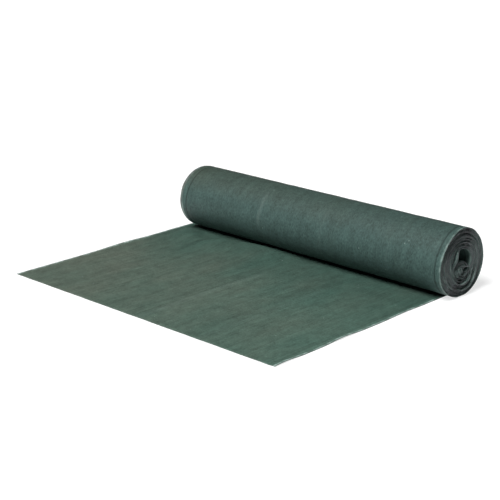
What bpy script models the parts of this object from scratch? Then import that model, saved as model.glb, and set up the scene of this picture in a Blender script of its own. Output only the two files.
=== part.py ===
"""Windbreak screen: knitted net, one metre wide, wound on itself with no tube in the middle.

The last stretch is unwound and lies flat in front of the roll. X runs across the cloth, along the
roll, the loose end runs towards -Y, and the cloth lies on z = 0. The origin is on that surface,
halfway along the line on which the roll rests. All sizes are in metres.
"""

import math
from collections import namedtuple

import bmesh
import bpy
import numpy as np

MM = 0.001

# The cloth, as it comes from the knitting machine
CLOTH_WIDTH = 1.0
SHEET_THICKNESS = 1.2 * MM

# The loose end, from under the roll to its cut edge
LOOSE_LENGTH_LEFT = 0.694
LOOSE_LENGTH_RIGHT = 0.679
TUCK_UNDER_ROLL = 12 * MM
SIDE_DRIFT = -33 * MM
FAN_LEFT = 8 * MM
FAN_RIGHT = 14 * MM
LOOSE_COLUMNS = 22
LOOSE_ROWS = 30
EDGE_CROWDING = 0.75

# The roll, over its outermost turn
ROLL_HALF_HEIGHT = 94.9 * MM
STEPS_PER_TURN = 60
DRIFT_TURNS = 0.55
EDGE_STRAY = 7 * MM
EDGE_STRAY_TURN = 0.66
EDGE_STRAY_SPREAD = 0.14

# Each turn is a bundle of some ten layers, counted inwards from the line on which the roll rests.
# Its outer face is an oval, given in millimetres from the roll's own centre: half-breadth,
# half-height, centre, how deep it is pressed flat underneath, the slack that parts it from the
# turn outside it, and how far its edges reach past the mean line.
Turn = namedtuple("Turn", "breadth height y z flat slack reach")
TURNS = (
    Turn(96.0, 94.9, 0.0, 0.0, 1.5, 0.3, 0.0),
    Turn(94.5, 93.4, 0.0, 0.0, 1.5, 0.3, 0.0),
    Turn(83.5, 81.3, 0.5, -1.2, 0.6, 0.7, -3.0),
    Turn(72.5, 72.0, 0.5, -5.0, 0.3, 0.8, 2.0),
    Turn(62.0, 63.5, 0.5, -6.5, 0.0, 0.8, -4.0),
    Turn(52.5, 55.5, 1.5, -8.5, 0.0, 0.8, 0.0),
    Turn(44.0, 46.5, 3.0, -9.5, 0.0, 0.8, -6.0),
    Turn(35.0, 26.0, 3.0, -18.5, 0.0, 0.8, -2.0),
    Turn(26.0, 16.0, 2.0, -24.0, 0.0, 0.8, -8.0),
    Turn(10.0, 5.0, -2.0, -25.0, 0.0, 0.8, -8.0),
)
WOUND_TURNS = len(TURNS) - 2

# Where a bundle has sunk away from the one outside it: the count of turns at the deepest place of
# the pocket, the turns that it runs to each side, and its depth. With no tube in it, the middle of
# the roll has fallen in and leaves the long pocket near five and a half turns.
Pocket = namedtuple("Pocket", "at runs depth")
POCKETS = (
    Pocket(1.40, 0.20, 1.0 * MM),
    Pocket(2.42, 0.22, 1.6 * MM),
    Pocket(3.42, 0.20, 1.2 * MM),
    Pocket(3.98, 0.16, 1.6 * MM),
    Pocket(4.40, 0.18, 1.4 * MM),
    Pocket(5.48, 0.28, 14.0 * MM),
    Pocket(5.88, 0.15, 4.5 * MM),
    Pocket(6.37, 0.19, 11.0 * MM),
    Pocket(7.20, 0.20, 3.0 * MM),
)

# Soft ridges of the loose end: a point on the crest, the way the crest runs (degrees from +X),
# its half-length, half-width and height
Ridge = namedtuple("Ridge", "x y runs half_length half_width height")
RIDGES = (
    Ridge(-0.390, -0.118, 18, 0.210, 0.056, 5.0 * MM),
    Ridge(0.474, -0.435, 89, 0.080, 0.022, 3.5 * MM),
    Ridge(0.478, -0.640, 88, 0.065, 0.018, 3.0 * MM),
    Ridge(0.470, -0.200, 89, 0.090, 0.014, 2.0 * MM),
    Ridge(-0.531, -0.300, 91, 0.110, 0.014, 2.5 * MM),
    Ridge(-0.040, -0.360, 88, 0.330, 0.045, 1.5 * MM),
)


def clear_scene():
    for item in list(bpy.data.objects):
        bpy.data.objects.remove(item, do_unlink=True)


def cloth_material(name, colour, roughness):
    """A matt woven finish with the cloth's colour, given as linear red, green and blue."""
    material = bpy.data.materials.new(name)
    material.use_nodes = True
    shader = material.node_tree.nodes["Principled BSDF"]
    shader.inputs["Base Color"].default_value = (*colour, 1.0)
    shader.inputs["Roughness"].default_value = roughness
    shader.inputs["Metallic"].default_value = 0.0
    return material


def add_object(name, mesh, material, collection):
    mesh.materials.append(material)
    item = bpy.data.objects.new(name, mesh)
    collection.objects.link(item)
    return item


def band_face(turns, grow):
    """Points (y, z) of the spiral at each count of turns, seen from +X and counted anticlockwise
    from the bottom: an oval whose size and centre pass evenly from one row of the table to the
    next, grown outwards and pressed flat underneath."""
    rows = np.arange(len(TURNS))
    columns = (np.interp(turns, rows, column) * MM for column in zip(*TURNS))
    breadth, height, y, z, flat, _slack, _reach = columns
    angle = 2 * math.pi * turns - math.pi / 2
    lowest = z - height - grow + flat
    up = np.maximum(z + (height + grow) * np.sin(angle), lowest)
    return np.column_stack([y + (breadth + grow) * np.cos(angle), up + ROLL_HALF_HEIGHT])


def gap_inside(turns):
    """Space between the band at each count of turns and the next turn in: slack and pockets."""
    slack = np.interp(turns, np.arange(len(TURNS)), [turn.slack * MM for turn in TURNS])
    for pocket in POCKETS:
        share = np.clip(np.abs(turns - pocket.at) / pocket.runs, 0, 1)
        slack += pocket.depth * np.cos(share * math.pi / 2) ** 2
    return slack


def edge_shift(turns):
    """How far the cloth's edges stand from the roll's mean line: the outermost turn drifts across
    to meet the loose end, strays the other way in front, and the bundles inside vary a little."""
    drift = SIDE_DRIFT * np.clip(1 - turns / DRIFT_TURNS, 0, 1) ** 2
    stray = EDGE_STRAY * np.exp(-(((turns - EDGE_STRAY_TURN) / EDGE_STRAY_SPREAD) ** 2))
    reach = np.interp(turns, np.arange(len(TURNS)), [turn.reach * MM for turn in TURNS])
    return drift + stray + reach


def loft(name, sections):
    """A closed solid through sections of the same number of points, with a face at each end."""
    count, corners = sections.shape[:2]
    shape = bmesh.new()
    rings = [[shape.verts.new(point) for point in section] for section in sections]
    for near, far in zip(rings, rings[1:]):
        for corner in range(corners):
            other = (corner + 1) % corners
            shape.faces.new((near[corner], far[corner], far[other], near[other]))
    shape.faces.new(rings[0])
    shape.faces.new(reversed(rings[count - 1]))
    bmesh.ops.recalc_face_normals(shape, faces=shape.faces)
    mesh = bpy.data.meshes.new(name)
    shape.to_mesh(mesh)
    shape.free()
    mesh.shade_smooth()
    mesh.set_sharp_from_angle(angle=math.radians(35))
    return mesh


def make_wound_roll(collection, material):
    """The wound cloth: a band of layers, from a single sheet at the loose end to a full bundle one
    turn on, carried round eight times to the folded middle."""
    turns = np.arange(WOUND_TURNS * STEPS_PER_TURN + 1) / STEPS_PER_TURN
    outer = band_face(turns, 0.0)
    inner = band_face(turns + 1, gap_inside(turns))
    half = CLOTH_WIDTH / 2
    corners = [
        np.column_stack([side + edge_shift(count), face])
        for face, count, side in (
            (outer, turns, -half),
            (outer, turns, half),
            (inner, turns + 1, half),
            (inner, turns + 1, -half),
        )
    ]
    mesh = loft("wound_roll", np.stack(corners, axis=1))
    return add_object("wound_roll", mesh, material, collection)


def ridge_height(x, y):
    """Height of the cloth's underside over the surface: the sum of the soft ridges."""
    height = np.zeros_like(x)
    for ridge in RIDGES:
        runs = math.radians(ridge.runs)
        along = (x - ridge.x) * math.cos(runs) + (y - ridge.y) * math.sin(runs)
        across = (y - ridge.y) * math.cos(runs) - (x - ridge.x) * math.sin(runs)
        near = np.clip(1 - (along / ridge.half_length) ** 2, 0, 1)
        near *= np.clip(1 - (across / ridge.half_width) ** 2, 0, 1)
        height += ridge.height * near**2
    return height


def crowd_edges(share):
    """Moves even shares from 0 to 1 closer together near both ends."""
    return share - EDGE_CROWDING * np.sin(2 * math.pi * share) / (2 * math.pi)


def make_loose_end(collection, material):
    """The unwound stretch: a grid from the cut edge to under the roll, thickened upwards."""
    shape = bmesh.new()
    bmesh.ops.create_grid(shape, x_segments=LOOSE_COLUMNS, y_segments=LOOSE_ROWS, size=0.5)
    across = crowd_edges(np.array([vert.co.x for vert in shape.verts]) + 0.5)
    along = 0.5 - np.array([vert.co.y for vert in shape.verts])
    length = LOOSE_LENGTH_LEFT + (LOOSE_LENGTH_RIGHT - LOOSE_LENGTH_LEFT) * across
    y = TUCK_UNDER_ROLL - along * (length + TUCK_UNDER_ROLL)
    out = np.clip(-y / length, 0, 1)
    left = -CLOTH_WIDTH / 2 + SIDE_DRIFT + FAN_LEFT * out
    right = CLOTH_WIDTH / 2 + SIDE_DRIFT + FAN_RIGHT * out
    x = left + (right - left) * across
    for vert, point in zip(shape.verts, np.column_stack([x, y, ridge_height(x, y)])):
        vert.co = point
    mesh = bpy.data.meshes.new("loose_end")
    shape.to_mesh(mesh)
    shape.free()
    mesh.shade_smooth()
    item = add_object("loose_end", mesh, material, collection)
    wall = item.modifiers.new("cloth thickness", "SOLIDIFY")
    wall.thickness = SHEET_THICKNESS
    wall.offset = 1.0
    return item


clear_scene()
screen = bpy.data.collections.new("windbreak_screen")
bpy.context.scene.collection.children.link(screen)
make_wound_roll(screen, cloth_material("rolled_net", (0.080, 0.124, 0.114), 0.75))
make_loose_end(screen, cloth_material("laid_net", (0.095, 0.137, 0.108), 0.80))
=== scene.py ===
"""Windbreak screen: one length of knitted net, wound on itself, with its last stretch laid out.

X runs across the cloth, along the roll, the loose end runs towards -Y, and the cloth lies on z = 0.
The origin is halfway along the line on which the roll rests. Sizes are in metres, unless a table
says otherwise.
"""

import math
from collections import namedtuple

import bpy
import numpy as np
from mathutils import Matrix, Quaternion, Vector


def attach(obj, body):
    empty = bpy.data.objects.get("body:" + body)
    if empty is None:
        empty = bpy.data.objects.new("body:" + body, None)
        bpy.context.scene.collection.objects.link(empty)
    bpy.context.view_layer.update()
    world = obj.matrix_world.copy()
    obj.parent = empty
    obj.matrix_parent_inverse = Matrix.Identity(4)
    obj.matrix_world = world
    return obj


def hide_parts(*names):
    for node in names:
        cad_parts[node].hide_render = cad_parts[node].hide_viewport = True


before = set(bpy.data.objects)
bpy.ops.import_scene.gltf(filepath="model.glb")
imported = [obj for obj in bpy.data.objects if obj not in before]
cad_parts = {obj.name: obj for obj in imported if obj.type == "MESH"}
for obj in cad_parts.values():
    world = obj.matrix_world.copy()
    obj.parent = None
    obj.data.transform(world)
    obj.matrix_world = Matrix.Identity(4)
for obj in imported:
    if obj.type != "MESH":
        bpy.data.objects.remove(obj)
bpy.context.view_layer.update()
studio = bpy.context.scene
MM = 0.001


# The view. A long lens looks down on the roll from beyond its right-hand end, so that the loose
# end runs away to the lower left.

camera = bpy.data.objects.new("camera", bpy.data.cameras.new("camera"))
camera.location = (2.5207, -2.7276, 1.2034)
turned = Vector((1.1979, 0.5221, 0.6733))
camera.rotation_mode = "QUATERNION"
camera.rotation_quaternion = Quaternion(turned.normalized(), turned.length)
camera.data.lens = 97.07
camera.data.sensor_width = 36.0
camera.data.shift_x = 0.0063
camera.data.shift_y = -0.0376
studio.collection.objects.link(camera)
studio.camera = camera


# The loose end. It is the last stretch of the net, a warp-knitted cloth of dark grey-green
# polyethylene tape a metre wide with a firm selvedge down each side. It lies in front of the roll
# on the ground, runs in under it and turns up behind it.

CLOTH_WIDTH = 1.0
LOOSE_LENGTH_LEFT = 0.694
LOOSE_LENGTH_RIGHT = 0.679
SIDE_DRIFT = -33 * MM
FAN_LEFT = 8 * MM
FAN_RIGHT = 14 * MM
LAID_THICKNESS = 1.0 * MM
LAID_CLEARANCE = 0.1 * MM
LAID_COLUMNS = 120
LAID_ROWS = 96
LAID_CROWDING = 0.5
WAVES_DIE_OUT = 50 * MM

# Behind the line on which the roll rests it is the first tenth of a turn of the roll, and it has
# left the ground by half of that.
TURNED_UP = 0.10
TURNED_UP_ROWS = 16
OFF_GROUND = 0.05

# The outermost turn of the roll, that it runs on into
ROLL_HALF_BREADTH = 96.0 * MM
ROLL_HALF_HEIGHT = 94.9 * MM
ROLL_PRESSED_FLAT = 1.5 * MM
OUTER_TURN_PITCH = 1.5 * MM
DRIFT_TURNS = 0.55
EDGE_STRAY = 7 * MM
EDGE_STRAY_TURN = 0.64
EDGE_STRAY_SPREAD = 0.13

# Soft ridges of the laid stretch: a point on the crest, the way the crest runs (degrees from +X),
# its half-length, how wide its flanks to the left and right of that way are, and its height. The
# first three stand round a hollow in front of the roll.
Ridge = namedtuple("Ridge", "x y runs half_length left right height")
RIDGES = (
    Ridge(-0.314, -0.112, 40, 0.105, 0.044, 0.105, 13.0 * MM),
    Ridge(-0.200, -0.068, 8, 0.200, 0.034, 0.125, 10.0 * MM),
    Ridge(-0.446, -0.110, -36, 0.090, 0.046, 0.070, 10.0 * MM),
    Ridge(0.474, -0.435, 89, 0.080, 0.022, 0.022, 3.5 * MM),
    Ridge(0.478, -0.640, 88, 0.065, 0.018, 0.018, 3.0 * MM),
    Ridge(0.470, -0.200, 89, 0.090, 0.014, 0.014, 2.0 * MM),
    Ridge(-0.531, -0.300, 91, 0.110, 0.014, 0.014, 2.5 * MM),
    Ridge(-0.006, -0.430, 89, 0.300, 0.024, 0.090, 2.0 * MM),
)

# Long shallow waves that the winding left in the cloth: waves to a metre across and along, how
# far along its length the first one starts, and height
Wave = namedtuple("Wave", "across along start height")
WAVES = (
    Wave(7.3, 0.6, 0.10, 0.35 * MM),
    Wave(12.1, -0.9, 0.55, 0.25 * MM),
    Wave(19.7, 1.3, 0.30, 0.15 * MM),
    Wave(4.1, 3.7, 0.80, 0.20 * MM),
)


def outer_turn_face(turns):
    """Points (y, z) of the cloth's outer face on the roll at each count of turns, counted
    anticlockwise from the bottom as seen from +X: an oval that shrinks by the pitch in each turn
    and is pressed flat underneath."""
    angle = 2 * math.pi * turns - math.pi / 2
    breadth = ROLL_HALF_BREADTH - OUTER_TURN_PITCH * turns
    height = ROLL_HALF_HEIGHT - OUTER_TURN_PITCH * turns
    up = np.maximum(height * np.sin(angle), ROLL_PRESSED_FLAT - height)
    return np.stack([breadth * np.cos(angle), up + ROLL_HALF_HEIGHT], axis=-1)


def outer_edge_shift(turns):
    """How far the outermost turn's edges stand from the roll's mean line: they drift across to
    meet the loose end, by a square law, and stray the other way in front as a bell curve."""
    drift = SIDE_DRIFT * np.clip(1 - turns / DRIFT_TURNS, 0, 1) ** 2
    stray = EDGE_STRAY * np.exp(-(((turns - EDGE_STRAY_TURN) / EDGE_STRAY_SPREAD) ** 2))
    return drift + stray


def ridge_height(x, y):
    """Height of the highest ridge there: over each, (1 - along squared) times (1 - across
    squared), the product squared, with along in half-lengths and across in flank widths."""
    height = np.zeros_like(x)
    for ridge in RIDGES:
        runs = math.radians(ridge.runs)
        along = (x - ridge.x) * math.cos(runs) + (y - ridge.y) * math.sin(runs)
        across = (y - ridge.y) * math.cos(runs) - (x - ridge.x) * math.sin(runs)
        flank = np.where(across > 0, ridge.left, ridge.right)
        near = np.clip(1 - (along / ridge.half_length) ** 2, 0, 1)
        near *= np.clip(1 - (across / flank) ** 2, 0, 1)
        height = np.maximum(height, ridge.height * near**2)
    return height


def wave_height(across, along):
    """Sum of raised cosines over the cloth's own width and length, so never below nothing."""
    height = 0.0
    for wave in WAVES:
        turn = 2 * math.pi * (wave.across * across + wave.along * along + wave.start)
        height = height + wave.height * (1 + np.cos(turn)) / 2
    return height


def crowd_edges(share, crowding):
    """Moves even shares from 0 to 1 closer together near both ends, by a sine."""
    return share - crowding * np.sin(2 * math.pi * share) / (2 * math.pi)


def cloth_mesh(name, x, y, z, across, along):
    """A mesh of quads on a grid (rows along the cloth, columns across it), outer face outwards,
    with a UV map in metres across and along. Each array fills the grid, or is a row or column."""
    points = np.stack(np.broadcast_arrays(x, y, z), axis=-1)
    rows, columns = points.shape[:2]
    corner = (np.arange(rows - 1)[:, None] * columns + np.arange(columns - 1)).ravel()
    quads = np.stack([corner, corner + columns, corner + columns + 1, corner + 1], axis=1)
    mesh = bpy.data.meshes.new(name)
    mesh.from_pydata(points.reshape(-1, 3), [], quads)
    uv = np.stack(np.broadcast_arrays(across, along), axis=-1).reshape(-1, 2)
    mesh.uv_layers.new(name="metres").data.foreach_set("uv", uv[quads.ravel()].ravel())
    mesh.shade_smooth()
    mesh.update()
    return mesh


def cloth_piece(name, mesh, finish, thickness):
    """The object of a cloth mesh, at the origin, thickened away from its outer face."""
    mesh.materials.append(finish)
    piece = bpy.data.objects.new(name, mesh)
    studio.collection.objects.link(piece)
    wall = piece.modifiers.new("thickness", "SOLIDIFY")
    wall.thickness = thickness
    wall.offset = -1.0
    wall.use_even_offset = False
    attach(piece, "root")
    return piece


class Strand:
    """A socket of the net's shader. Arithmetic on it adds a Math node for each operator."""

    def __init__(self, socket):
        self.socket = socket

    def node(self, kind, settings, inputs, output=0):
        """Adds any node beside this one: its settings first, then its sockets' values or links."""
        tree = self.socket.id_data
        node = tree.nodes.new("ShaderNode" + kind)
        for name, value in settings.items():
            setattr(node, name, value)
        for name, value in inputs.items():
            if isinstance(value, Strand):
                tree.links.new(value.socket, node.inputs[name])
            else:
                node.inputs[name].default_value = value
        return Strand(node.outputs[output])

    def maths(self, operation, *values):
        return self.node("Math", {"operation": operation}, dict(enumerate(values)))

    def __add__(self, other):
        return self.maths("ADD", self, other)

    def __radd__(self, other):
        return self.maths("ADD", other, self)

    def __sub__(self, other):
        return self.maths("SUBTRACT", self, other)

    def __rsub__(self, other):
        return self.maths("SUBTRACT", other, self)

    def __mul__(self, other):
        return self.maths("MULTIPLY", self, other)

    def __rmul__(self, other):
        return self.maths("MULTIPLY", other, self)

    def __truediv__(self, other):
        return self.maths("DIVIDE", self, other)

    def sine(self):
        return self.maths("SINE", self)

    def away(self, place):
        """Distance from a place, the same on both sides."""
        return self.maths("ABSOLUTE", self - place)

    def rise(self, start, end):
        """0 before start, 1 after end, and an S-curve between."""
        settings = {"interpolation_type": "SMOOTHSTEP"}
        return self.node("MapRange", settings, {"Value": self, "From Min": start, "From Max": end})

    def colour(self, red, green, blue):
        dyed = self.node("RGB", {}, {})
        dyed.socket.default_value = (red, green, blue, 1.0)
        return dyed

    def mix(self, share, other):
        settings = {"data_type": "RGBA", "clamp_factor": True}
        return self.node("Mix", settings, {0: share, 6: self, 7: other}, output=2)

    def brighter(self, factor):
        return self.node("VectorMath", {"operation": "SCALE"}, {0: self, "Scale": factor})


# The knit, and how its threads reflect
WALE_PITCH = 3.2 * MM
COURSE_PITCH = 2.4 * MM
SELVEDGE = 18 * MM
# Colour of pale threads, also used for painted highlights on edges and folds
PALE_THREADS_AND_HIGHLIGHTS = (0.30, 0.39, 0.36, 1.0)
RELIEF = 0.6 * MM
RELIEF_STRENGTH = 0.6
SHINE = 0.3

# How a net finish changes over the cloth. cool and warm are its two tones; warm_at and warm_reach
# say where along the cloth, in metres, the warm one lies, and the field after them how much darker
# the cloth is painted there: painted shade where it is above nothing, painted light where it is
# below. streaks and grain are how strongly it is streaked and speckled, and seam how dark the line
# of stitches is; left and right are how pale the selvedges' outer threads are, partly by their own
# colour and partly as a painted highlight where the edge catches the light, outer how far in they
# reach, and rim is the colour of the cloth seen edge-on. creases are lines along the cloth, each
# with its share of pale thread, a painted highlight along a fold, and of darkening, painted shade
# along a fold.
Tone = namedtuple(
    "Tone",
    "cool warm warm_at warm_reach fade streaks grain seam left right outer rim creases seed",
)
Crease = namedtuple("Crease", "across half_width pale dark start end")
CREASE_RUN_OUT = 60 * MM


def net_finish(name, tone):
    """The knitted net: chains of stitches along the cloth with tape laid between them, so that
    it looks finely streaked along its length. A dark line of stitches bounds each selvedge, and
    the selvedges' outer threads are pale, partly by their own colour and partly as a painted
    highlight. Creases paint highlights and shade along folds, and the tone can paint the cloth
    lighter or darker along its length. Sines of the UV map make the knit, and patches of noise
    of several sizes make the rest uneven."""
    finish = bpy.data.materials.new(name)
    finish.use_nodes = True
    tree = finish.node_tree
    shader = tree.nodes["Principled BSDF"]
    metres = Strand(tree.nodes.new("ShaderNodeTexCoord").outputs["UV"])
    across = metres.node("SeparateXYZ", {}, {0: metres}, output=0)
    along = metres.node("SeparateXYZ", {}, {0: metres}, output=1)

    def patches(wide, long, layer, detail=2.0):
        """Even noise from 0 to 1 in patches so many metres wide and long."""
        place = {"X": across / wide, "Y": along / long, "Z": tone.seed + layer}
        place = metres.node("CombineXYZ", {}, place)
        inputs = {"Vector": place, "Scale": 1.0, "Detail": detail, "Roughness": 0.55}
        return metres.node("TexNoise", {}, inputs)

    # What is uneven in the cloth, from broad to fine
    drift = patches(160 * MM, 300 * MM, 0.0, detail=3.0)
    bands = patches(30 * MM, 500 * MM, 7.0)
    streaks = patches(5 * MM, 120 * MM, 13.0, detail=3.0)
    blotches = patches(26 * MM, 38 * MM, 37.0)
    tufts = patches(9 * MM, 14 * MM, 29.0, detail=3.0)
    grain = patches(3.6 * MM, 7 * MM, 17.0)
    lint = patches(5 * MM, 9 * MM, 57.0, detail=0.0).rise(0.885, 0.905)

    # The knit
    sway = (patches(20 * MM, 30 * MM, 31.0) - 0.5) * 0.5
    wale = (across / WALE_PITCH + sway) * (2 * math.pi)
    course = (along / COURSE_PITCH + sway) * (2 * math.pi)
    chain = wale.sine() * 0.5 + 0.5
    stitch = (course + wale * 0.5).sine() * 0.5 + 0.5
    tape = (course - wale.sine() * 1.6).sine() * 0.5 + 0.5
    knit = chain * (0.55 + stitch * 0.45) + (1 - chain) * tape * 0.6

    # The selvedges: their line of stitches, and the pale threads, which come and go along the edge;
    # their paleness is partly their own colour and partly a painted highlight where the edge
    # catches the light
    from_edge = CLOTH_WIDTH / 2 - across.away(CLOTH_WIDTH / 2)
    selvedge = 1 - from_edge.rise(SELVEDGE - 1.5 * MM, SELVEDGE + 0.5 * MM)
    seam = 1 - from_edge.away(SELVEDGE + 2 * MM).rise(0.8 * MM, 4.5 * MM)
    broken = patches(500 * MM, 26 * MM, 43.0, detail=3.0).rise(0.40, 0.60)
    wavy = 0.2 + 1.6 * patches(500 * MM, 45 * MM, 47.0)
    outer_threads_and_highlight = 1 - (from_edge / wavy).rise(0.35 * tone.outer, tone.outer)
    outer_threads_and_highlight = outer_threads_and_highlight * from_edge.rise(0.6 * MM, 2.4 * MM)
    side = tone.left + (tone.right - tone.left) * across
    pale = outer_threads_and_highlight * (0.2 + 0.8 * broken) * side
    seam_and_painted_shade = 1 - seam * tone.seam
    # Each crease paints a pale highlight and a dark shade along a fold.
    for crease in tone.creases:
        line = 1 - (across + sway * 14 * MM).away(crease.across).rise(0.0, crease.half_width)
        reach = along.rise(crease.start, crease.start + CREASE_RUN_OUT)
        reach = reach * (1 - along.rise(crease.end - CREASE_RUN_OUT, crease.end))
        pale = pale + line * reach * crease.pale
        seam_and_painted_shade = seam_and_painted_shade * (1 - line * reach * crease.dark)

    # Colour
    # nearness marks where along the cloth the warm tone lies and where painted light or shade is
    # laid on
    nearness = 1 - along.away(tone.warm_at).rise(0.35 * tone.warm_reach, tone.warm_reach)
    warmth = nearness * (1.0 - 0.8 * across) + (drift - 0.5) * 1.3
    net = metres.colour(*tone.cool).mix(warmth, (*tone.warm, 1.0))
    shade = 1 + (bands - 0.5) * 0.30 + (streaks - 0.5) * tone.streaks
    shade = shade + (grain - 0.5) * tone.grain + (tufts - 0.5) * 0.6 * tone.grain
    shade = shade + (blotches - 0.5) * 0.70 + (knit - 0.5) * 0.30
    # Painted light and shade along the cloth: darker over the top of the roll, brighter towards the
    # laid stretch's cut edge
    shade = shade * (1 - nearness * tone.fade) * (1 + selvedge * 0.10)
    net = net.brighter(shade * seam_and_painted_shade)
    net = net.mix(pale, PALE_THREADS_AND_HIGHLIGHTS)
    net = net.mix(lint * 0.6, PALE_THREADS_AND_HIGHLIGHTS)
    rim = metres.colour(*tone.rim).brighter(0.55 + broken * 0.55 + (grain - 0.5) * 0.8)
    net = net.mix(1 - from_edge.rise(0.1 * MM, 0.5 * MM), rim)
    tree.links.new(net.socket, shader.inputs["Base Color"])

    # Gloss and relief
    rough = 0.50 + (1 - chain) * 0.12 + tufts * 0.10
    tree.links.new(rough.socket, shader.inputs["Roughness"])
    relief = knit * 0.35 + streaks * tone.streaks + grain * 0.6 + tufts * 0.6 + blotches * 0.8
    relief = relief + bands * 0.8 - seam * 1.8 * tone.seam
    inputs = {"Strength": RELIEF_STRENGTH, "Distance": RELIEF, "Height": relief}
    tree.links.new(metres.node("Bump", {}, inputs).socket, shader.inputs["Normal"])
    shader.inputs["Specular IOR Level"].default_value = SHINE
    return finish


def make_laid_cloth():
    """The laid stretch as a grid: straight lines from the cut edge to the roll, fanned out a
    little, lifted by the ridges and waves, then carried up the roll's outer turn. Gives the piece
    and the length of its left edge."""
    across = crowd_edges(np.linspace(0, 1, LAID_COLUMNS + 1), LAID_CROWDING)[None, :]
    out = 1 - np.linspace(0, 1, LAID_ROWS + 1)[:, None]
    length = LOOSE_LENGTH_LEFT + (LOOSE_LENGTH_RIGHT - LOOSE_LENGTH_LEFT) * across
    left = -CLOTH_WIDTH / 2 + SIDE_DRIFT + FAN_LEFT * out
    right = CLOTH_WIDTH / 2 + SIDE_DRIFT + FAN_RIGHT * out
    x = left + (right - left) * across
    y = -length * out
    along = LOOSE_LENGTH_LEFT + y
    clear = np.clip(-y / WAVES_DIE_OUT, 0, 1)
    z = LAID_CLEARANCE + ridge_height(x, y) + clear * wave_height(across, along)

    turns = np.linspace(0, TURNED_UP, TURNED_UP_ROWS + 1)[1:, None]
    face = outer_turn_face(turns)
    rising_x = -CLOTH_WIDTH / 2 + outer_edge_shift(turns) + CLOTH_WIDTH * across
    rising_y = face[..., 0]
    lifted = np.clip(turns / OFF_GROUND, 0, 1)
    lifted = lifted**2 * (3 - 2 * lifted)
    rising_z = LAID_CLEARANCE + (face[..., 1] - LAID_CLEARANCE) * lifted
    step = np.hypot(
        np.diff(rising_y, axis=0, prepend=0.0), np.diff(rising_z, axis=0, prepend=LAID_CLEARANCE)
    )
    rising_along = LOOSE_LENGTH_LEFT + np.cumsum(step, axis=0)

    def joined(laid, rising):
        return np.concatenate([laid, np.broadcast_to(rising, rising_x.shape)])

    points = (joined(x, rising_x), joined(y, rising_y), joined(z, rising_z))
    mesh = cloth_mesh("laid_cloth", *points, across, joined(along, rising_along))
    tone = Tone(
        cool=(0.0335, 0.0675, 0.0530),
        warm=(0.0540, 0.0690, 0.0540),
        warm_at=0.0,
        warm_reach=0.70,
        # Painted light: this stretch is painted brighter towards its cut edge and darker towards
        # the roll.
        fade=-0.42,
        streaks=0.80,
        grain=0.90,
        seam=0.12,
        # Pale edges, partly the selvedge's own pale threads and partly a painted highlight where
        # the edge curls up.
        left=1.00,
        right=0.90,
        outer=8.5 * MM,
        rim=(0.06, 0.08, 0.07),
        # The creases paint shade down the flanks of folds and pale highlights along two of them.
        creases=(
            Crease(0.168, 24 * MM, 0.0, 0.13, -0.1, 0.62),
            Crease(0.228, 14 * MM, 0.0, 0.10, -0.1, 0.55),
            Crease(0.395, 32 * MM, 0.0, 0.10, -0.1, 0.60),
            Crease(0.470, 14 * MM, 0.0, 0.10, -0.1, 0.55),
            Crease(0.4975, 6 * MM, 0.0, 0.20, -0.1, 0.52),
            Crease(0.516, 17 * MM, 0.045, 0.0, -0.1, 0.50),
            Crease(0.700, 22 * MM, 0.0, 0.12, -0.1, 0.60),
            Crease(0.735, 18 * MM, 0.018, 0.0, -0.1, 0.50),
        ),
        seed=0.0,
    )
    piece = cloth_piece("laid_cloth", mesh, net_finish("laid net", tone), LAID_THICKNESS)
    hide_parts("loose_end")
    return piece, float(rising_along[-1, 0])


laid_cloth, laid_length = make_laid_cloth()


# The outermost turn of the roll, the same cloth carried on over the back, the top and the front.
# It is slack enough to show shallow rings. Its right selvedge stands out past the others, and its
# left one is drawn in a little near the top.

OUTER_TURNS_END = 1.25
OUTER_STEPS_PER_TURN = 90
OUTER_COLUMNS = 110
OUTER_CROWDING = 0.7
OUTER_THICKNESS = 0.7 * MM
LEFT_DRAWN_IN = 7 * MM
LEFT_DRAWN_IN_TURN = 0.47
LEFT_DRAWN_IN_SPREAD = 0.11

# Rings pressed into the outermost turn: place along the roll, half-width and depth
Ring = namedtuple("Ring", "x half_width depth")
RINGS = (
    Ring(-0.167, 0.012, 0.5 * MM),
    Ring(0.075, 0.016, 0.3 * MM),
    Ring(0.318, 0.014, 0.4 * MM),
    Ring(0.478, 0.006, 0.5 * MM),
    Ring(-0.478, 0.006, 0.5 * MM),
)

# Swells in its slack: waves to a metre along the roll, waves to a turn round it, start (radians)
# and depth. The slack begins where the cloth has turned up and ends where the next turn starts.
Swell = namedtuple("Swell", "along round start depth")
SWELLS = (
    Swell(5.3, 1.0, 0.7, 0.25 * MM),
    Swell(13.0, -2.0, 2.1, 0.20 * MM),
)
SLACK_BEGINS_OVER = 0.08
SLACK_ENDS = 1.05
SLACK_ENDS_OVER = 0.1


def outer_slack(x, turns):
    """How far the outermost turn stands in from its oval: a raised sine for each swell and a bell
    curve for each ring, faded out towards both ends of the turn."""
    depth = 0.0
    for swell in SWELLS:
        wave = np.sin(2 * math.pi * (swell.along * x + swell.round * turns) + swell.start)
        depth = depth + swell.depth * (1 + wave) / 2
    for ring in RINGS:
        depth = depth + ring.depth * np.exp(-(((x - ring.x) / ring.half_width) ** 2))
    begun = np.clip((turns - TURNED_UP) / SLACK_BEGINS_OVER, 0, 1)
    return depth * begun * np.clip((SLACK_ENDS - turns) / SLACK_ENDS_OVER, 0, 1)


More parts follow.
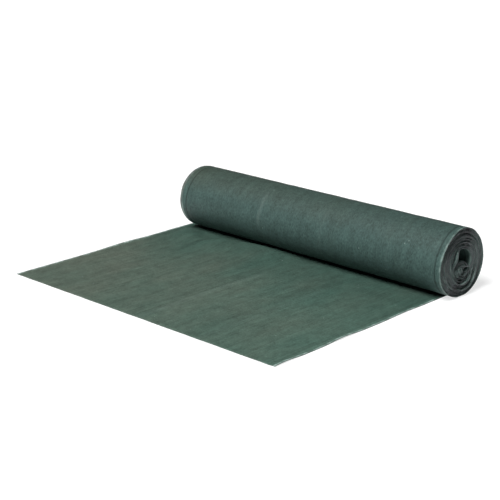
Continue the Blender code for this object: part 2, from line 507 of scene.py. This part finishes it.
def make_outer_turn():
    """The outermost turn as a grid round the roll, from where the loose end turns up to just
    inside its own start: the oval, less its slack towards the roll's centre. Gives the piece and
    how far along the cloth it ends."""
    count = round((OUTER_TURNS_END - TURNED_UP) * OUTER_STEPS_PER_TURN)
    turns = np.linspace(TURNED_UP, OUTER_TURNS_END, count + 1)[:, None]
    across = crowd_edges(np.linspace(0, 1, OUTER_COLUMNS + 1), OUTER_CROWDING)[None, :]
    drawn_in = np.exp(-(((turns - LEFT_DRAWN_IN_TURN) / LEFT_DRAWN_IN_SPREAD) ** 2))
    drawn_in = LEFT_DRAWN_IN * drawn_in * np.clip(1 - 2 * across, 0, 1) ** 2
    x = -CLOTH_WIDTH / 2 + outer_edge_shift(turns) + CLOTH_WIDTH * across + drawn_in

    face = outer_turn_face(turns)
    spoke = face - np.array([0.0, ROLL_HALF_HEIGHT])
    spoke /= np.linalg.norm(spoke, axis=-1, keepdims=True)
    depth = outer_slack(x, turns)
    y = face[..., 0] - spoke[..., 0] * depth
    z = face[..., 1] - spoke[..., 1] * depth
    step = np.linalg.norm(np.diff(face, axis=0, prepend=face[:1]), axis=-1)
    along = laid_length + np.cumsum(step, axis=0)
    mesh = cloth_mesh("outer_turn", x, y, z, across, along)
    tone = Tone(
        cool=(0.0390, 0.0725, 0.0650),
        warm=(0.045, 0.067, 0.053),
        warm_at=laid_length + 0.24,
        warm_reach=0.13,
        # Painted shade: the top of the roll is painted darker.
        fade=0.15,
        streaks=0.36,
        grain=1.35,
        seam=0.45,
        # The right selvedge's pale edge is partly its own pale threads and partly a painted
        # highlight.
        left=0.0,
        right=0.42,
        outer=8 * MM,
        rim=(0.10, 0.12, 0.11),
        # The creases paint pale highlights along folds; the last, at the left edge, is a painted
        # highlight on the curled rim.
        creases=(
            Crease(0.333, 12 * MM, 0.09, 0.0, laid_length + 0.27, laid_length + 0.43),
            Crease(0.575, 9 * MM, 0.025, 0.0, laid_length + 0.26, laid_length + 0.50),
            Crease(0.818, 5 * MM, 0.03, 0.0, laid_length + 0.30, laid_length + 0.48),
            Crease(0.002, 7 * MM, 0.95, 0.0, laid_length + 0.37, laid_length + 0.49),
        ),
        seed=3.0,
    )
    piece = cloth_piece("outer_turn", mesh, net_finish("rolled net", tone), OUTER_THICKNESS)
    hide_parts("wound_roll")
    return piece, float(along[-1, 0])


outer_cloth, outer_end = make_outer_turn()


# The turns inside it, some sixty of them, wound by hand without a tube. They lie in bundles that
# have slipped past each other, and the middle has fallen in and left two long hollows.

INNER_STEPS_PER_TURN = 64
INNER_THICKNESS = 0.55 * MM
INNER_PLACES = (0.0, 0.006, 0.03, 0.25, 0.75, 0.97, 0.994, 1.0)

# Ovals that the layers pass through, in millimetres from the roll's centre: how many layers in
# from the back of the roll, half-breadth, half-height, centre and how far the edges reach out.
# Where two rows are a fraction of a layer apart, the bundles have parted.
Oval = namedtuple("Oval", "layers breadth height y z reach")
OVALS = (
    Oval(0.00, 94.1, 93.0, 0.0, 0.0, 0.0),
    Oval(1.00, 92.6, 91.2, 0.0, 0.0, -5.0),
    Oval(7.00, 87.6, 85.2, 0.6, -1.5, -6.5),
    Oval(7.40, 87.3, 84.9, 0.6, -1.5, -2.5),
    Oval(11.35, 84.0, 81.0, 1.0, -2.5, -3.5),
    Oval(11.50, 83.4, 79.8, 0.4, -3.7, -4.5),
    Oval(17.00, 76.9, 75.0, 1.4, -4.6, -4.0),
    Oval(20.35, 73.0, 71.9, 2.0, -5.1, -2.5),
    Oval(20.50, 72.2, 70.8, 1.2, -6.2, -2.0),
    Oval(23.90, 68.3, 67.7, 2.1, -6.2, -2.5),
    Oval(24.10, 68.0, 67.4, 2.1, -6.2, -5.0),
    Oval(28.35, 63.0, 63.6, 3.3, -6.3, -5.0),
    Oval(28.50, 62.2, 62.6, 2.5, -7.3, -3.5),
    Oval(37.35, 53.0, 54.6, 4.3, -6.6, -5.0),
    Oval(37.50, 52.2, 53.6, 3.5, -7.6, -2.5),
    Oval(39.90, 49.7, 51.3, 4.1, -7.3, -2.5),
    Oval(40.10, 49.5, 51.1, 4.1, -7.3, -5.5),
    Oval(46.35, 41.8, 44.5, 5.8, -6.5, -4.0),
    Oval(46.50, 37.5, 24.5, 7.5, -24.0, -8.0),
    Oval(51.35, 33.0, 19.0, 8.0, -26.5, -9.0),
    Oval(51.50, 30.0, 17.5, 7.0, -26.5, -4.0),
    Oval(59.50, 11.5, 6.5, 19.5, -21.5, -1.0),
)

# Places where some layers have sunk further: first and last layer, the way from their centre
# (degrees from the back, upwards), half the arc, and the depth in millimetres at the first and
# the last layer
Hollow = namedtuple("Hollow", "first last way half_arc depth_first depth_last")
HOLLOWS = (
    Hollow(11.5, 16.5, 120, 40, 1.0, 0.0),
    Hollow(20.5, 24.5, 65, 45, 1.2, 0.0),
    Hollow(24.1, 29.1, 222, 22, 4.5, 0.0),
    Hollow(28.5, 32.5, 320, 36, 1.4, 0.0),
    Hollow(37.5, 41.5, 20, 40, 1.5, 0.0),
    Hollow(38.0, 46.4, 152, 44, 0.0, 15.0),
    Hollow(40.1, 44.1, 262, 46, 3.0, 0.0),
    Hollow(46.5, 51.5, 205, 40, 4.0, 0.0),
    Hollow(46.5, 56.0, 30, 35, 7.0, 0.0),
)

# All the layers slump to three sides, more so further in, and none lies straight. In millimetres,
# and in layers counted inwards.
SLUMP = 2.0
SLUMP_BEGINS = 8
SLUMP_BEGINS_OVER = 30
UNEVEN = 0.16
LOWEST_LAYER = 3.0
LOWEST_PITCH = 0.3

# Stretches of edge that stand out from the rest: first and last layer, the way from the roll's
# centre, half its arc and how far out in millimetres
Lip = namedtuple("Lip", "first last way half_arc out")
LIPS = (
    Lip(12.0, 14.5, 75, 60, -5.0),
    Lip(15.5, 19.5, 65, 50, 5.0),
    Lip(21.0, 24.0, 290, 65, 7.0),
    Lip(24.2, 27.4, 80, 60, -5.0),
    Lip(24.4, 27.0, 300, 60, -4.0),
    Lip(28.5, 31.5, 75, 55, 4.0),
    Lip(33.0, 36.0, 70, 60, -5.0),
    Lip(36.5, 40.0, 285, 70, 8.0),
    Lip(44.0, 46.35, 140, 50, 6.0),
    Lip(51.6, 57.5, 180, 60, 4.0),
)
LIP_STARTS_OVER = 0.4

# The edges also wander in and out by hand, by so many millimetres every so many layers, and more
# so where the middle is loose
WANDER = 1.5
WANDER_STEP = 0.4
LOOSER_BY = 0.6
LOOSER_BEGINS = 40
LOOSER_BEGINS_OVER = 10


def around(angle, way, half_arc):
    """Raised cosine round a layer: 1 at the given way, 0 from half_arc degrees to each side."""
    off = np.abs((np.degrees(angle) - way + 180) % 360 - 180) / half_arc
    return np.cos(np.clip(off, 0, 1) * math.pi / 2) ** 2


def layer_sag(layers, angle, phase):
    """How far the layers have sunk towards their centre, in millimetres: the hollows, a cosine of
    three times the angle for the slump, and two slow sines for the unevenness."""
    slump = SLUMP * np.clip((layers - SLUMP_BEGINS) / SLUMP_BEGINS_OVER, 0, 1)
    sunk = slump * np.cos(3 * angle + 0.6 + 0.03 * layers)
    sunk += UNEVEN * (np.sin(0.37 * angle + phase[0]) + np.sin(1.61 * angle + phase[1]))
    for hollow in HOLLOWS:
        ends, depths = (hollow.first, hollow.last), (hollow.depth_first, hollow.depth_last)
        depth = np.interp(layers, ends, depths, left=0.0, right=0.0)
        sunk += depth * around(angle, hollow.way, hollow.half_arc)
    return sunk


def edge_wander(layers, angle, phase, random):
    """How far the edges stand out from the table's line, in millimetres: random steps joined by
    straight lines, two sines for the stitches' pull, and the lips."""
    places = np.arange(0, layers[-1] + 1, WANDER_STEP)
    looser = 1 + LOOSER_BY * np.clip((places - LOOSER_BEGINS) / LOOSER_BEGINS_OVER, 0, 1)
    wander = np.interp(layers, places, random.normal(0, WANDER, len(places)) * looser)
    wander += 0.4 * np.sin(3.37 * angle + phase[4]) + 0.3 * np.sin(7.21 * angle + phase[5])
    for lip in LIPS:
        within = np.minimum(layers - lip.first, lip.last - layers) / LIP_STARTS_OVER
        wander += lip.out * np.clip(within, 0, 1) * around(angle, lip.way, lip.half_arc)
    return wander


def make_inner_turns():
    """The inner turns as one strip: an oval whose size and centre pass evenly from row to row of
    the table as the layers are counted, less the sag, held off the ground, with edges that wander
    in and out. Gives the piece and its length."""
    layers = np.arange(round(OVALS[-1].layers * INNER_STEPS_PER_TURN) + 1) / INNER_STEPS_PER_TURN
    angle = 2 * math.pi * layers
    counts, *columns = np.array(OVALS).T
    breadth, height, y, z, reach = (np.interp(layers, counts, column) for column in columns)
    random = np.random.default_rng(5)
    phase = random.uniform(0, 2 * math.pi, 6)
    sunk = layer_sag(layers, angle, phase)
    y = (y + (breadth - sunk) * np.cos(angle)) * MM
    z = (z + (height - sunk) * np.sin(angle)) * MM + ROLL_HALF_HEIGHT
    z = np.maximum(z, (LOWEST_LAYER + LOWEST_PITCH * layers) * MM)
    reach = (reach + edge_wander(layers, angle, phase, random)) * MM

    across = np.array(INNER_PLACES)[None, :] * CLOTH_WIDTH
    x = -CLOTH_WIDTH / 2 + across + reach[:, None]
    step = np.hypot(np.diff(y, prepend=y[:1]), np.diff(z, prepend=z[:1]))
    along = (outer_end + np.cumsum(step))[:, None]
    mesh = cloth_mesh("inner_turns", x, y[:, None], z[:, None], across, along)
    tone = Tone(
        cool=(0.042, 0.076, 0.068),
        warm=(0.060, 0.072, 0.064),
        warm_at=12.0,
        warm_reach=30.0,
        fade=0.0,
        streaks=0.50,
        grain=0.60,
        seam=0.35,
        # Pale layer edges on the end face, partly their own pale threads and partly a painted
        # highlight on the edges that stand out.
        left=0.38,
        right=0.38,
        outer=9 * MM,
        rim=(0.128, 0.134, 0.142),
        creases=(),
        seed=5.0,
    )
    piece = cloth_piece("inner_turns", mesh, net_finish("inner net", tone), INNER_THICKNESS)
    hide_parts("wound_roll")
    return piece, float(along[-1, 0] - along[0, 0])


inner_cloth, inner_length = make_inner_turns()


# The floor and the light of the studio: white paper on the ground and, to close the view beyond
# it, white paper all round that sends no light on to the cloth; an even faint surround, one broad
# lamp high above the cut edge, and a weak one behind the roll.

STUDIO_HALF = 30.0
CORNERS = [(x * STUDIO_HALF, y * STUDIO_HALF) for x, y in ((-1, -1), (1, -1), (1, 1), (-1, 1))]
SURROUND_GLOW = 0.05
WHITE = (1.0, 1.0, 1.0, 1.0)


def paper(name, points, faces, grey, glow):
    """Sheets of matt paper that also glow, so that they stay white in shade."""
    finish = bpy.data.materials.new(name + " paper")
    finish.use_nodes = True
    face = finish.node_tree.nodes["Principled BSDF"].inputs
    face["Base Color"].default_value = (grey, grey, grey, 1.0)
    face["Roughness"].default_value = 0.9
    face["Emission Color"].default_value = WHITE
    face["Emission Strength"].default_value = glow
    mesh = bpy.data.meshes.new(name)
    mesh.from_pydata(points, [], faces)
    mesh.materials.append(finish)
    backdrop = bpy.data.objects.new(name, mesh)
    studio.collection.objects.link(backdrop)
    return backdrop


paper("floor", [(x, y, 0) for x, y in CORNERS], [(0, 1, 2, 3)], 0.35, 0.68)
wall = paper(
    "wall",
    [(x, y, z) for z in (0, STUDIO_HALF) for x, y in CORNERS],
    [(side, (side + 1) % 4, (side + 1) % 4 + 4, side + 4) for side in range(4)] + [(4, 5, 6, 7)],
    0.0,
    1.0,
)
wall.visible_diffuse = False
wall.visible_glossy = False
wall.visible_shadow = False

surround = bpy.data.worlds.new("surround")
surround.use_nodes = True
surround.node_tree.nodes["Background"].inputs["Color"].default_value = WHITE
surround.node_tree.nodes["Background"].inputs["Strength"].default_value = SURROUND_GLOW
studio.world = surround
studio.view_settings.view_transform = "Standard"

# Energy, how wide it looks (degrees) and the way to it
Lamp = namedtuple("Lamp", "name energy spread towards")
for lamp in (
    Lamp("key", 4.75, 30, (0.08, -0.66, 0.99)),
    Lamp("fill", 0.50, 60, (0.35, 0.85, 0.45)),
):
    light = bpy.data.lights.new(lamp.name, "SUN")
    light.energy = lamp.energy
    light.angle = math.radians(lamp.spread)
    stand = bpy.data.objects.new(lamp.name, light)
    stand.rotation_euler = Vector(lamp.towards).to_track_quat("Z", "Y").to_euler()
    studio.collection.objects.link(stand)
